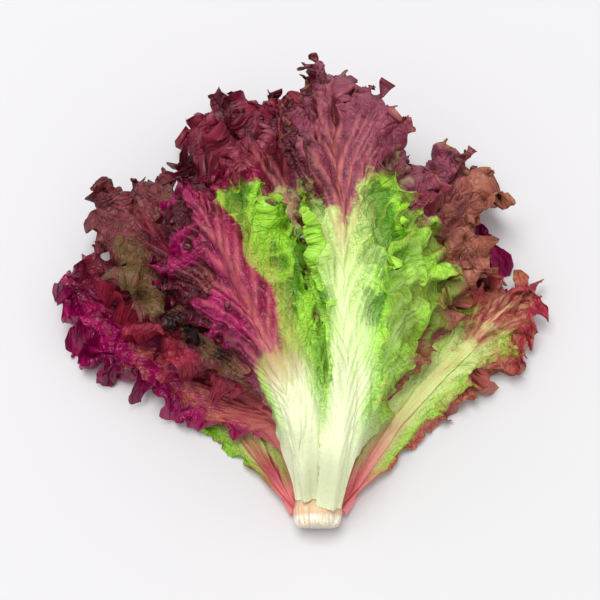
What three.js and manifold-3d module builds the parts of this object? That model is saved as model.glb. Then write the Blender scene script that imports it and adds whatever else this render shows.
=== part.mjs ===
import * as THREE from "three";
import Module from "manifold-3d";
import { mergeVertices } from "three/addons/utils/BufferGeometryUtils.js";

// A head of red leaf lettuce as picked, lying on its side: a cut stem with ruffled leaves all round it.
// Millimetres, +Z up. The cut end points along -Y, and the leaves spread towards +Y over the surface.

const { degToRad, lerp, clamp, smoothstep } = THREE.MathUtils;

// Driving dimensions
const STEM_RADIUS = 15;
const STEM_LENGTH = 51;
const STEM_PITCH = 10;
const STEM_HEIGHT = 13.2;
const RIB_SHARE = 0.72;
const RIB_HEIGHT = 3.4;
const RIB_HALF_WIDTH = 9;
const BLADE_THICKNESS = 1.1;
const GAP = 0.6;
const DROOP = 0.8;
const RISE = 1;
const REST_CUT = 0.45;
const CLEARANCE = 0.3;
const SLIVER = 0.02;

// Distances along a leaf, in millimetres, over which its foot turns from the stem's way into the leaf's own,
// rolls over to its lie, opens from the stem's roundness to the blade's, and comes free to lie on the pile
const FOOT_TURNS = [5, 70];
const FOOT_ROLLS = [2, 60];
const FOOT_OPENS = [0, 95];
const FOOT_FREE = [4, 30];
const FOOT_CUP_RADIUS = STEM_RADIUS + 3;
const BLADE_CUP_RADIUS = 260;

// How often a leaf's lift is evened out between neighbours, over its slopes and over its tight spots
const SLOPE_ROUNDS = 25;
const RAISE_ROUNDS = 4;

// The stem's radius from the cut end to the tip where the youngest leaves grow, at even steps of its length
const STEM_PROFILE = [1, 0.97, 0.86, 0.7, 0.5, 0.2].map((share) => share * STEM_RADIUS);

// A vein's angle from the midrib in degrees, and its length as a share of the leaf's,
// at even steps from the leaf's tip down to its foot
const VEIN_ANGLES = [0, 30, 44, 52, 62, 90];
const VEIN_REACHES = [0.28, 0.33, 0.36, 0.29, 0.13, 0];
const FOOT_HALF_WIDTH = 9.5;

// The ruffle's waves: how many a side, the swing of the blade in degrees, and where along a vein they begin
const RUFFLES = [
  { waves: 2.2, swing: 22, begins: 0.2 },
  { waves: 4.7, swing: 40, begins: 0.4 },
];

const PALE_GREEN = 0xb7d486;
const LEAF_GREEN = 0x86b444;
const RED_GREEN = 0x8a5a4a;
const MAGENTA = 0x8e1f52;
const DARK_RED = 0x5b1f35;
const STEM_CREAM = 0xe4e2c8;
const LEAF_ROUGHNESS = 0.5;
const STEM_ROUGHNESS = 0.55;

// The leaves from the lowest in the pile to the topmost. turn is the foot's place round the stem in degrees,
// 0 on top and 90 on the right; station is its distance from the cut end; opens is the angle at which the
// foot leaves the stem; heading is the way the leaf goes over the surface, from +Y towards +X, and bend is how
// far that way turns from the foot to the tip; pitch is its slope at the foot, the middle and the tip; lie is
// the blade's turn about its midrib by the tip, 0 with its outer face up and 180 with its inner face up;
// spread widens the blade, lean makes one half wider than the other, and waist narrows its lower half at the
// left and the right; ruffle is how much the blade waves; droop is how far it sinks towards what lies below;
// curl bends the margin outwards at the left edge, the tip and the right edge.
const LEAVES = [
  { name: "leaf_right_back", turn: 155, station: 15, opens: 15, heading: 34,
    pitch: [0, 4, 6], lie: 170, length: 228, spread: 0.85, ruffle: 1, seed: 7, colour: MAGENTA },
  { name: "leaf_under_middle", turn: -165, station: 19, opens: 14, heading: -2,
    pitch: [0, 0, 6], lie: -180, length: 232, spread: 0.9, ruffle: 0.8, seed: 1, colour: RED_GREEN },
  { name: "leaf_under_right", turn: 175, station: 24, opens: 12, heading: 20,
    pitch: [0, 2, 6], lie: 178, length: 220, spread: 0.85, ruffle: 0.9, seed: 5, colour: DARK_RED },
  { name: "leaf_low_left", turn: -118, station: 10, opens: 36, heading: -38, bend: -20,
    pitch: [0, 2, 6], lie: -176, length: 180, spread: 0.65, lean: -0.35, ruffle: 0.9,
    seed: 2, colour: LEAF_GREEN },
  { name: "leaf_low_right", turn: 112, station: 10, opens: 34, heading: 43, bend: 22,
    pitch: [0, 4, 4], lie: 172, length: 234, spread: 0.55, waist: [0.6, 1], ruffle: 0.8,
    seed: 3, colour: LEAF_GREEN },
  { name: "leaf_left_low", turn: -128, station: 23, opens: 14, heading: -54, bend: -14,
    pitch: [0, 3, 2], lie: -174, length: 242, spread: 0.75, ruffle: 0.9,
    seed: 6, colour: MAGENTA },
  { name: "leaf_under_left", turn: -158, station: 29, opens: 10, heading: -22,
    pitch: [0, 2, 6], lie: -178, length: 215, spread: 0.85, ruffle: 0.9, seed: 4, colour: DARK_RED },
  { name: "leaf_left_dark", turn: -128, station: 34, opens: 9, heading: -43,
    pitch: [2, 4, 4], lie: -168, length: 214, spread: 0.85, ruffle: 1, seed: 8, colour: DARK_RED },
  { name: "leaf_heart", turn: 10, station: 39, opens: 4, heading: 4,
    pitch: [4, 6, 4], lie: 6, length: 205, spread: 0.75, ruffle: 1, seed: 10, colour: LEAF_GREEN },
  { name: "leaf_back_left", turn: -30, station: 34, opens: 6, heading: -12,
    pitch: [8, 6, 8], lie: -8, length: 306, spread: 0.7, ruffle: 0.9, seed: 12, colour: DARK_RED },
  { name: "leaf_left_upper", turn: -52, station: 29, opens: 9, heading: -39, bend: -10,
    pitch: [6, 4, 2], lie: -12, length: 274, spread: 0.62, lean: 0.15, ruffle: 0.9,
    seed: 9, colour: RED_GREEN },
  { name: "leaf_right_upper", turn: 52, station: 29, opens: 9, heading: 25, bend: 10,
    pitch: [8, 6, 4], lie: 14, length: 272, spread: 0.72, ruffle: 0.9, seed: 11, colour: RED_GREEN },
  { name: "leaf_middle_green", turn: 0, station: 24, opens: 11, heading: -8,
    pitch: [12, 8, 2], lie: -4, length: 284, spread: 0.75, ruffle: 0.9, seed: 14, colour: LEAF_GREEN },
  { name: "leaf_right_inner", turn: 50, station: 19, opens: 13, heading: 10,
    pitch: [10, 7, 3], lie: 10, length: 250, spread: 0.75, ruffle: 0.9, seed: 16, colour: LEAF_GREEN },
  { name: "leaf_left_top", turn: -26, station: 15, opens: 15, heading: -25,
    pitch: [14, 8, 0], lie: -12, length: 232, spread: 0.76, lean: 0.1, waist: [0.45, 0.8],
    ruffle: 0.9, seed: 13, colour: MAGENTA },
  { name: "leaf_top", turn: 30, station: 10, opens: 18, heading: -2, bend: -8,
    pitch: [14, 6, 12], lie: 3, length: 350, spread: 0.48, waist: [0.4, 1],
    ruffle: 0.9, droop: 0.3, curl: [150, 0, 40], seed: 15, colour: PALE_GREEN },
];

// How finely each leaf is cut: columns round the margin, and rows from the rib's edge out to it
const COLUMNS = 42;
const ROWS = [0, 0.38, 0.68, 0.86, 1];
const WALK_STEPS = 24;
const PATH_STEP = 2;

// The value at share t of a smooth curve through evenly spaced values
function through(values, t) {
  const last = values.length - 1;
  const place = clamp(t, 0, 1) * last;
  const i = Math.min(Math.floor(place), last - 1);
  const f = place - i;
  const before = values[Math.max(i - 1, 0)];
  const after = values[Math.min(i + 2, last)];
  const slopeIn = (values[i + 1] - before) / 2;
  const slopeOut = (after - values[i]) / 2;
  const rise = values[i + 1] - values[i];
  return values[i] + f * (slopeIn + f * (3 * rise - 2 * slopeIn - slopeOut
    + f * (slopeIn + slopeOut - 2 * rise)));
}

// A fixed phase from 0 to a full turn for each seed and use
function phase(seed, use) {
  const x = Math.sin(seed * 12.9898 + use * 78.233) * 43758.5453;
  return 2 * Math.PI * (x - Math.floor(x));
}

// The midrib's course over the surface: places and directions at even steps of its length
function midribPath(leaf) {
  const stemAxis = new THREE.Vector3(0, Math.cos(degToRad(STEM_PITCH)), Math.sin(degToRad(STEM_PITCH)));
  const stemUp = new THREE.Vector3(0, -stemAxis.z, stemAxis.y);
  const turn = degToRad(leaf.turn);
  const opens = degToRad(leaf.opens);
  const radial = stemUp.clone().multiplyScalar(Math.cos(turn)).add(new THREE.Vector3(Math.sin(turn), 0, 0));
  const off = through(STEM_PROFILE, leaf.station / STEM_LENGTH) + BLADE_THICKNESS / 2 + GAP;
  const place = stemAxis.clone().multiplyScalar(leaf.station).addScaledVector(radial, off)
    .add(new THREE.Vector3(0, 0, STEM_HEIGHT));
  const leaving = stemAxis.clone().multiplyScalar(Math.cos(opens)).addScaledVector(radial, Math.sin(opens));
  const path = [];
  for (let along = 0; along <= leaf.length * 1.2; along += PATH_STEP) {
    const heading = degToRad(leaf.heading + (leaf.bend ?? 0) * (along / leaf.length - 0.5));
    const pitch = degToRad(through(leaf.pitch, along / leaf.length));
    const going = new THREE.Vector3(
      Math.sin(heading) * Math.cos(pitch), Math.cos(heading) * Math.cos(pitch), Math.sin(pitch));
    const tangent = leaving.clone().lerp(going, smoothstep(along, ...FOOT_TURNS)).normalize();
    const side = new THREE.Vector3(tangent.y, -tangent.x, 0).normalize();
    const up = side.clone().cross(tangent);
    const roll = lerp(turn, degToRad(leaf.lie), smoothstep(along, ...FOOT_ROLLS));
    const outward = up.clone().multiplyScalar(Math.cos(roll)).addScaledVector(side, Math.sin(roll));
    const across = tangent.clone().cross(outward);
    path.push({ place: place.clone(), tangent, across, outward });
    place.addScaledVector(tangent, PATH_STEP);
  }
  return path;
}

// One vein's walk from the midrib to the margin, in the flat leaf's own axes: across, along and outward.
// q runs from -1 at the foot's left corner through 0 at the tip to 1 at the foot's right corner.
function veinWalk(leaf, q) {
  const k = Math.abs(q);
  const side = Math.sign(q);
  const start = RIB_SHARE * leaf.length * (1 - k) ** 0.85;
  const angle = degToRad(through(VEIN_ANGLES, k));
  const lobes = 1 + 0.06 * Math.sin(2 * Math.PI * 3.3 * q + phase(leaf.seed, 1))
    + 0.05 * Math.sin(2 * Math.PI * 8.3 * q + phase(leaf.seed, 9));
  const reach = leaf.length * through(VEIN_REACHES, k) * lobes * (leaf.spread + (leaf.lean ?? 0) * q)
    * lerp(1, (leaf.waist ?? [1, 1])[q < 0 ? 0 : 1], smoothstep(k, 0.35, 0.7))
    + FOOT_HALF_WIDTH * smoothstep(k, 0.45, 1);
  const wander = 0.35 * Math.sin(4.3 * q + phase(leaf.seed, 2))
    + 0.2 * Math.sin(9.1 * q + phase(leaf.seed, 3));
  const swell = 1 + 0.3 * Math.sin(7.7 * q + phase(leaf.seed, 4));
  const calm = 1 - smoothstep(k, 0.72, 0.98);
  const [left, tip, right] = leaf.curl ?? [0, 0, 0];
  const curl = degToRad(lerp(tip, q < 0 ? left : right, smoothstep(k, 0.1, 0.45))) * calm;
  const walk = [{ across: 0, along: start, outward: 0, reached: 0 }];
  let { across, along, outward } = walk[0];
  for (let n = 0; n < WALK_STEPS; n += 1) {
    const share = (n + 0.5) / WALK_STEPS;
    let lift = curl * smoothstep(share, 0.4, 0.9) ** 1.5;
    let sway = 0;
    RUFFLES.forEach(({ waves, swing, begins }, i) => {
      const grown = smoothstep(share, begins, 1) * calm * leaf.ruffle;
      const turn = 2 * Math.PI * waves * (q + wander / waves) + phase(leaf.seed, 5 + i);
      lift += degToRad(swing) * swell * grown * Math.sin(turn);
      sway += 0.2 * grown * Math.cos(turn);
    });
    const step = reach / WALK_STEPS;
    across += step * Math.cos(lift) * Math.sin(side * angle + sway);
    along += step * Math.cos(lift) * Math.cos(side * angle + sway);
    outward += step * Math.sin(lift);
    walk.push({ across, along, outward, reached: (n + 1) * step });
  }
  return walk;
}

// Carries a point of the flat leaf onto its bent and cupped place on the head
function onHead(path, { across, along, outward }) {
  const cup = lerp(1 / FOOT_CUP_RADIUS, 1 / BLADE_CUP_RADIUS, smoothstep(along, ...FOOT_OPENS));
  const arc = across * cup;
  const step = clamp(along / PATH_STEP, 0, path.length - 1.001);
  const here = path[Math.floor(step)];
  const next = path[Math.floor(step) + 1];
  const f = step - Math.floor(step);
  const mixed = (key) => here[key].clone().lerp(next[key], f);
  return mixed("place")
    .addScaledVector(mixed("across"), (1 / cup + outward) * Math.sin(arc))
    .addScaledVector(mixed("outward"), (1 / cup + outward) * Math.cos(arc) - 1 / cup);
}

// The leaf's middle sheet: its vertices, its triangles, the loop round its edge and the rib's height
function leafSheet(leaf) {
  const path = midribPath(leaf);
  const half = COLUMNS / 2;
  const index = (row, column) => (row === 0
    ? Math.min(column, COLUMNS - column)
    : half + 1 + (row - 1) * (COLUMNS + 1) + column);
  const sheet = { leaf, vertices: [], rib: [], along: [], triangles: [], edge: [], index };
  const put = (row, column, walk, reached, rib) => {
    const stepLength = walk[1].reached;
    const place = clamp(reached / stepLength, 0, WALK_STEPS - 1e-6);
    const from = walk[Math.floor(place)];
    const to = walk[Math.floor(place) + 1];
    const f = place - Math.floor(place);
    const flat = {
      across: lerp(from.across, to.across, f),
      along: lerp(from.along, to.along, f),
      outward: lerp(from.outward, to.outward, f),
    };
    sheet.vertices[index(row, column)] = onHead(path, flat);
    sheet.rib[index(row, column)] = rib;
    sheet.along[index(row, column)] = flat.along;
  };
  for (let column = 0; column <= COLUMNS; column += 1) {
    const q = (2 * column) / COLUMNS - 1;
    const walk = veinWalk(leaf, q);
    const reach = walk[WALK_STEPS].reached;
    const fade = 1 - walk[0].along / (RIB_SHARE * leaf.length);
    const ribHeight = RIB_HEIGHT * fade ** 0.8;
    const ribEdge = Math.min(1.5 + RIB_HALF_WIDTH * fade, 0.35 * reach);
    if (column <= half) put(0, column, walk, 0, ribHeight);
    ROWS.forEach((share, i) => {
      put(i + 1, column, walk, lerp(ribEdge, reach, share), i === 0 ? 0.2 * ribHeight : 0);
    });
  }
  for (let row = 0; row < ROWS.length; row += 1) {
    for (let column = 0; column < COLUMNS; column += 1) {
      const [a, b] = [index(row, column), index(row, column + 1)];
      const [c, d] = [index(row + 1, column + 1), index(row + 1, column)];
      sheet.triangles.push([a, b, c], [a, c, d]);
    }
  }
  for (let column = 0; column <= COLUMNS; column += 1) sheet.edge.push(index(ROWS.length, column));
  for (let row = ROWS.length - 1; row > 0; row -= 1) sheet.edge.push(index(row, COLUMNS));
  for (let row = 0; row < ROWS.length; row += 1) sheet.edge.push(index(row, 0));
  return sheet;
}

// The outer and inner faces of the blade, with the rib standing out of the outer one
function faces(sheet, swell = 0) {
  const geometry = new THREE.BufferGeometry();
  const places = sheet.vertices.flatMap((v) => v.toArray());
  geometry.setAttribute("position", new THREE.Float32BufferAttribute(places, 3));
  geometry.setIndex(sheet.triangles.flat());
  geometry.computeVertexNormals();
  const normals = geometry.getAttribute("normal");
  const offset = (i, distance) =>
    sheet.vertices[i].clone().addScaledVector(new THREE.Vector3().fromBufferAttribute(normals, i), distance);
  const outer = sheet.vertices.map((_, i) => offset(i, BLADE_THICKNESS / 2 + sheet.rib[i] + swell));
  const inner = sheet.vertices.map((_, i) => offset(i, -BLADE_THICKNESS / 2 - swell));
  return { outer, inner };
}

// The pile's height over the surface, on a grid of square cells
const CELL = 2;
const GRID = 320;
const SAMPLE = 2.2;
const cellOf = (x) => clamp(Math.round(x / CELL + GRID / 2), 1, GRID - 2);
const pile = new Float32Array(GRID * GRID).fill(-GAP);

// Calls visit with points spread over each triangle of a face, and the triangle's number
function spreadOver(face, triangles, visit) {
  const point = new THREE.Vector3();
  triangles.forEach(([a, b, c], number) => {
    const sides = [face[a].distanceTo(face[b]), face[b].distanceTo(face[c]), face[c].distanceTo(face[a])];
    const longest = Math.max(...sides);
    const steps = Math.ceil(longest / SAMPLE);
    for (let i = 0; i <= steps; i += 1) {
      for (let j = 0; j <= steps - i; j += 1) {
        point.copy(face[a]).multiplyScalar((steps - i - j) / steps)
          .addScaledVector(face[b], i / steps).addScaledVector(face[c], j / steps);
        visit(point, number);
      }
    }
  });
}

function pileTop(x, y) {
  let top = -GAP;
  const i = cellOf(x);
  const j = cellOf(y);
  for (let di = -1; di <= 1; di += 1) {
    for (let dj = -1; dj <= 1; dj += 1) top = Math.max(top, pile[(j + dj) * GRID + i + di]);
  }
  return top;
}

// Lays a leaf on the pile: the blade follows the pile's slopes on the whole, is raised where it would still
// cut into it, and keeps its place near the foot. Then the leaf is added to the pile.
function settle(sheet) {
  const { leaf, vertices, triangles, along } = sheet;
  const { outer, inner } = faces(sheet);
  const around = vertices.map(() => new Set());
  triangles.forEach(([a, b, c]) => {
    around[a].add(b).add(c);
    around[b].add(a).add(c);
    around[c].add(a).add(b);
  });
  const evened = (values, rounds, keep) => {
    let now = values;
    for (let round = 0; round < rounds; round += 1) {
      now = now.map((value, v) => {
        let sum = 0;
        around[v].forEach((other) => { sum += now[other]; });
        return Math.max(keep ? values[v] : -Infinity, (value + (2 * sum) / around[v].size) / 3);
      });
    }
    return now;
  };
  const need = vertices.map(() => -Infinity);
  const mean = vertices.map(() => ({ sum: 0, count: 0 }));
  [outer, inner].forEach((face) => spreadOver(face, triangles, (point, number) => {
    const wanted = pileTop(point.x, point.y) + GAP - point.z;
    triangles[number].forEach((v) => {
      need[v] = Math.max(need[v], wanted);
      mean[v].sum += wanted;
      mean[v].count += 1;
    });
  }));
  const free = along.map((distance) => smoothstep(distance, ...FOOT_FREE));
  const slope = evened(mean.map(({ sum, count }, v) => {
    const wanted = sum / count + RISE;
    return (wanted > 0 ? wanted : (leaf.droop ?? DROOP) * wanted) * free[v];
  }), SLOPE_ROUNDS, false);
  const cut = need.map((wanted, v) => Math.max(0, wanted - slope[v]) * free[v]);
  const raised = evened(cut, RAISE_ROUNDS, true);
  vertices.forEach((vertex, v) => { vertex.z += (slope[v] + raised[v]) * (free[v] > 0 ? 1 : 0); });
  const settled = faces(sheet);
  [settled.outer, settled.inner].forEach((face) => spreadOver(face, triangles, (point) => {
    const cell = cellOf(point.y) * GRID + cellOf(point.x);
    pile[cell] = Math.max(pile[cell], point.z);
  }));
  return sheet;
}

// The closed blade: outer face, inner face turned round, and the edge between them
function bladeGeometry(sheet, swell = 0) {
  const { outer, inner } = faces(sheet, swell);
  const count = sheet.vertices.length;
  const position = [...outer, ...inner].flatMap((v) => v.toArray());
  const index = [];
  sheet.triangles.forEach(([a, b, c]) => index.push(a, b, c, count + a, count + c, count + b));
  sheet.edge.forEach((u, i) => {
    const v = sheet.edge[(i + 1) % sheet.edge.length];
    index.push(u, v, count + v, u, count + v, count + u);
  });
  const geometry = new THREE.BufferGeometry();
  geometry.setAttribute("position", new THREE.Float32BufferAttribute(position, 3));
  geometry.setIndex(index);
  return geometry;
}

// The stem: a fleshy stump, cut square, with low ridges where the lowest leaves were taken off
const STEM_SIDES = 24;
const STEM_RINGS = 8;
function stemGeometry() {
  const profile = [new THREE.Vector2(0, 0), new THREE.Vector2(STEM_RADIUS * 0.93, 0)];
  for (let i = 1; i <= STEM_RINGS; i += 1) {
    const share = i / STEM_RINGS;
    profile.push(new THREE.Vector2(through(STEM_PROFILE, share), Math.max(1.2, share * STEM_LENGTH)));
  }
  profile.push(new THREE.Vector2(0, STEM_LENGTH + 1));
  const lathe = new THREE.LatheGeometry(profile, STEM_SIDES);
  const position = lathe.getAttribute("position");
  for (let i = 0; i < position.count; i += 1) {
    const x = position.getX(i);
    const z = position.getZ(i);
    const turn = Math.atan2(z, x);
    const fluting = 1 + 0.035 * Math.sin(5 * turn + 0.12 * position.getY(i));
    position.setX(i, x * fluting);
    position.setZ(i, z * fluting);
  }
  lathe.rotateX(degToRad(STEM_PITCH));
  lathe.translate(0, 0, STEM_HEIGHT);
  lathe.deleteAttribute("normal");
  lathe.deleteAttribute("uv");
  return mergeVertices(lathe, 1e-3);
}

const material = (color, roughness) => new THREE.MeshStandardMaterial({ color, roughness, metalness: 0 });

const wasm = await Module();
wasm.setup();

function toSolid(geometry) {
  return new wasm.Manifold(new wasm.Mesh({
    numProp: 3,
    vertProperties: new Float32Array(geometry.getAttribute("position").array),
    triVerts: new Uint32Array(geometry.index.array),
  }));
}

function toGeometry(solid) {
  const { vertProperties, triVerts } = solid.getMesh();
  const geometry = new THREE.BufferGeometry();
  geometry.setAttribute("position", new THREE.BufferAttribute(new Float32Array(vertProperties), 3));
  geometry.setIndex(new THREE.BufferAttribute(new Uint32Array(triVerts), 1));
  return geometry;
}

// The largest body of a cut solid
const largest = (solid) => solid.decompose().reduce((a, b) => (a.volume() > b.volume() ? a : b));

// What is left of a solid where a neighbour passes: its largest piece, clear of the neighbour's swollen form
function clearOf(solid, neighbours) {
  let rest = solid;
  neighbours.forEach(({ blade, swollen }) => {
    if (rest.intersect(blade).volume() === 0) return;
    rest = largest(rest.subtract(swollen).subtract(blade));
  });
  return rest;
}

// Each piece is cut level a little above the surface, which leaves the flat spots that the head lies on. Facets
// thinner than a sliver are merged into their neighbours.
const head = new THREE.Group();
const add = (name, solid, color, roughness) => {
  const level = largest(solid.trimByPlane([0, 0, 1], REST_CUT).simplify(SLIVER));
  const mesh = new THREE.Mesh(toGeometry(level), material(color, roughness));
  mesh.name = name;
  head.add(mesh);
};

// The leaves are laid down in order; then each foot is trimmed where an outer leaf's foot passes over it
const laid = LEAVES.map((leaf) => {
  const sheet = settle(leafSheet(leaf));
  return {
    leaf,
    blade: toSolid(bladeGeometry(sheet)),
    swollen: toSolid(bladeGeometry(sheet, CLEARANCE)),
  };
});
const outerFirst = [...laid].sort((a, b) => a.leaf.station - b.leaf.station);
const trimmed = new Map(outerFirst.map((one, i) => [one, clearOf(one.blade, outerFirst.slice(0, i))]));
const stem = clearOf(toSolid(stemGeometry()), laid);
add("stem", stem, STEM_CREAM, STEM_ROUGHNESS);
laid.forEach((one) => add(one.leaf.name, trimmed.get(one), one.leaf.colour, LEAF_ROUGHNESS));

// The part's origin is at the middle of the head's foot-print, on the surface
const bounds = new THREE.Box3().setFromObject(head);
head.position.set(-(bounds.min.x + bounds.max.x) / 2, -(bounds.min.y + bounds.max.y) / 2, -bounds.min.z);

export default head;
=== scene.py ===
import math

import bpy
import numpy as np
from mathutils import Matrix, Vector


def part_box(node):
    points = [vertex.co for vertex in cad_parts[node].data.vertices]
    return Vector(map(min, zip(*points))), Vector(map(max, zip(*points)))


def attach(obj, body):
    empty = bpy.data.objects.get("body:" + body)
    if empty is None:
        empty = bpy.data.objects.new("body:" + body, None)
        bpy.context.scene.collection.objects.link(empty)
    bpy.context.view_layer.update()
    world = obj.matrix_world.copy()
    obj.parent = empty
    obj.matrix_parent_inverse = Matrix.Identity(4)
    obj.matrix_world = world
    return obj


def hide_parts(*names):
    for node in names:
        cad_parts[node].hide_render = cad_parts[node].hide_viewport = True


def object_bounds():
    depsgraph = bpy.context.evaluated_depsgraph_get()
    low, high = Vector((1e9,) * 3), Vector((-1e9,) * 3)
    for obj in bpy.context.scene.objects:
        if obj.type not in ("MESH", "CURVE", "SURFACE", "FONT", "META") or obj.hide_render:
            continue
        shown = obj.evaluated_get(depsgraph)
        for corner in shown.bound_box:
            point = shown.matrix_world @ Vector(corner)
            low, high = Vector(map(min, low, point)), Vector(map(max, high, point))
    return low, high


# A head of red leaf lettuce on a pale surface. Each leaf follows the same course over the pile as its solid
# does, worked out in millimetres, and is drawn here with its frills, blisters, ribs and veins.
MM = 0.001

# The stem: its radius at even steps from the cut end, how it lies and how finely it is drawn
STEM_RADIUS = 15
STEM_LENGTH = 51
STEM_PITCH = math.radians(10)
STEM_HEIGHT = 13.2
STEM_PROFILE = np.array([1, 0.97, 0.86, 0.7, 0.5, 0.2]) * STEM_RADIUS
STEM_SIDES = 120
STEM_RINGS = 60
CUT_FACE_RINGS = [0, 0.35, 0.7, 0.93]

# A leaf's midrib and blade. The angles and reaches are those of the veins from the tip to the foot.
RIB_SHARE = 0.72
RIB_HEIGHT = 3.4
RIB_HALF_WIDTH = 9
BLADE_THICKNESS = 1.1
VEIN_ANGLES = [0, 30, 44, 52, 62, 90]
VEIN_REACHES = [0.28, 0.33, 0.36, 0.29, 0.13, 0]

# The leaf's foot: where along the midrib it turns outwards, rolls over, opens flat and comes free
FOOT_HALF_WIDTH = 9.5
FOOT_TURNS = (5, 70)
FOOT_ROLLS = (2, 60)
FOOT_OPENS = (0, 95)
FOOT_FREE = (4, 30)
FOOT_CUP_RADIUS = STEM_RADIUS + 3
BLADE_CUP_RADIUS = 260

# Waves of the blade: how many a side, the swing in degrees, and where along a vein they begin.
# The ruffles shape the whole blade and the frills only its margin, less so within TIP_CALM of the tip.
RUFFLES = [(2.2, 22, 0.2), (4.7, 40, 0.4)]
FRILLS = [(10.5, 50, 0.5), (20.5, 54, 0.7), (34, 42, 0.84)]
RUFFLE_SWAY = 0.2
FRILL_SWAY = 0.11
TIP_CALM = (0.02, 0.16)
STEEPEST = 1.35

# The outline: broad and narrow lobes as number and size, and the scallops of the drawn margin
LOBES = [(3.3, 0.06), (8.3, 0.05)]
TEETH = 0.035
TEETH_COUNTS = (17, 39)

# How the leaves lie on each other. The pile is kept as heights of square cells.
GAP = 0.6
DROOP = 0.8
RISE = 1
SLOPE_ROUNDS = 25
RAISE_ROUNDS = 4
CELL = 2
GRID = 320
SAMPLE = 2.2

# From FREE_OF_STEM on, a drawn leaf is kept under the leaves above it. All of it stays within the solids'
# box and the share EXTRA more, and what comes closer to the surface than LANDING is eased up from it.
FREE_OF_STEM = 62
EXTRA = 0.022
LANDING = 4

# The plain sheet that is laid on the pile, and the finer one that is drawn
COLUMNS = 42
ROWS = [0, 0.38, 0.68, 0.86, 1]
WALK_STEPS = 24
PATH_STEP = 2
FINENESS = {"front": (600, 78), "side": (400, 54), "hidden": (150, 26)}
FINE_WALK_STEPS = 120
RIB_ROWS = 9

# The side veins: how fast they part from the midrib, how that grows on the way, where the first one leaves
# the midrib, how far apart they are, and the half widths and beginnings of the main and the finer ones
VEIN_FAN = 0.1
VEIN_BEND = 1.32
FIRST_VEIN = 8.0
LAST_VEIN = 0.8
VEIN_SPACING = 11
VEIN_SPACING_GROWTH = 0.075
MAIN_VEIN = (1.7, 0.0)
FINE_VEIN = (0.9, 0.25)

# Folds, creases, crinkles and blisters of the blade, and flutes of the foot. Widths and heights are in
# millimetres, but those of the folds and creases are shares of the leaf's crumple.
PAST_FOOT = (60, 130)
FOLD_SHARES = (0.8, 0.5)
SWERVE = 6
SWERVE_WIDTH = 18
CREASE_WIDTH = 15
CREASE_SHARE = 0.45
CRINKLE_WIDTH = 7
CRINKLE_SHARE = 0.22
BLISTER_WIDTH = 8
BLISTER_HEIGHT = 2.6
FLUTE_HEIGHT = 0.7
RIB_PROFILE = [1, 0.66, 0.22, 0.04, 0]

# The tissue: scales of its noises over the flat leaf in centimetres, and how it takes the light
MOTTLE_SCALE = 1.1
SPECKLE_SCALE = 5.0
FLECK_SCALE = 12.0
STREAK_STRETCH = (7.0, 0.7, 0.0)
NET_SCALE = 2.6
NET_WIDTH = 0.2
BUMP_STRENGTH = 0.75
BUMP_HEIGHT = 0.0013
SHINE = 0.36
LIGHT_THROUGH = 0.25

# Surface, light and camera, in metres
FLOOR_SIZE = 8
FLOOR_COLOUR = (0.6, 0.592, 0.604, 1)
SKY_STRENGTH = 0.78
LAMP_SIZE = 2
LAMP_POWER = 136
LAMP_PLACE = (-0.5, 0.1, 4)
LAMP_TARGET = (0, 0, 0.05)
CAMERA_ELEVATION = math.radians(67)
CAMERA_DISTANCE = 1.1
CAMERA_TARGET = (0.0012, -0.011, 0.0379)
VIEW_HALF_WIDTH = 0.186
SENSOR_WIDTH = 36


def leaf(turn, station, opens, heading, pitch, lie, length, spread, seed, bend=0, lean=0,
         waist=(1, 1), ruffle=0.9, droop=DROOP, curl=(0, 0, 0)):
    """One leaf's place on the stem, its course over the pile and its outline, as the solid has them.
    turn and station are its place round and along the stem, opens and pitch its rise in degrees, heading and
    bend its course seen from above, and lie the roll of its blade. spread, lean and waist widen or narrow
    it, and curl rolls back its left margin, its tip and its right margin."""
    return dict(turn=math.radians(turn), station=station, opens=math.radians(opens), heading=heading,
                pitch=pitch, lie=math.radians(lie), length=length, spread=spread, seed=seed, bend=bend,
                lean=lean, waist=waist, ruffle=ruffle, droop=droop, curl=curl)


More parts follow.
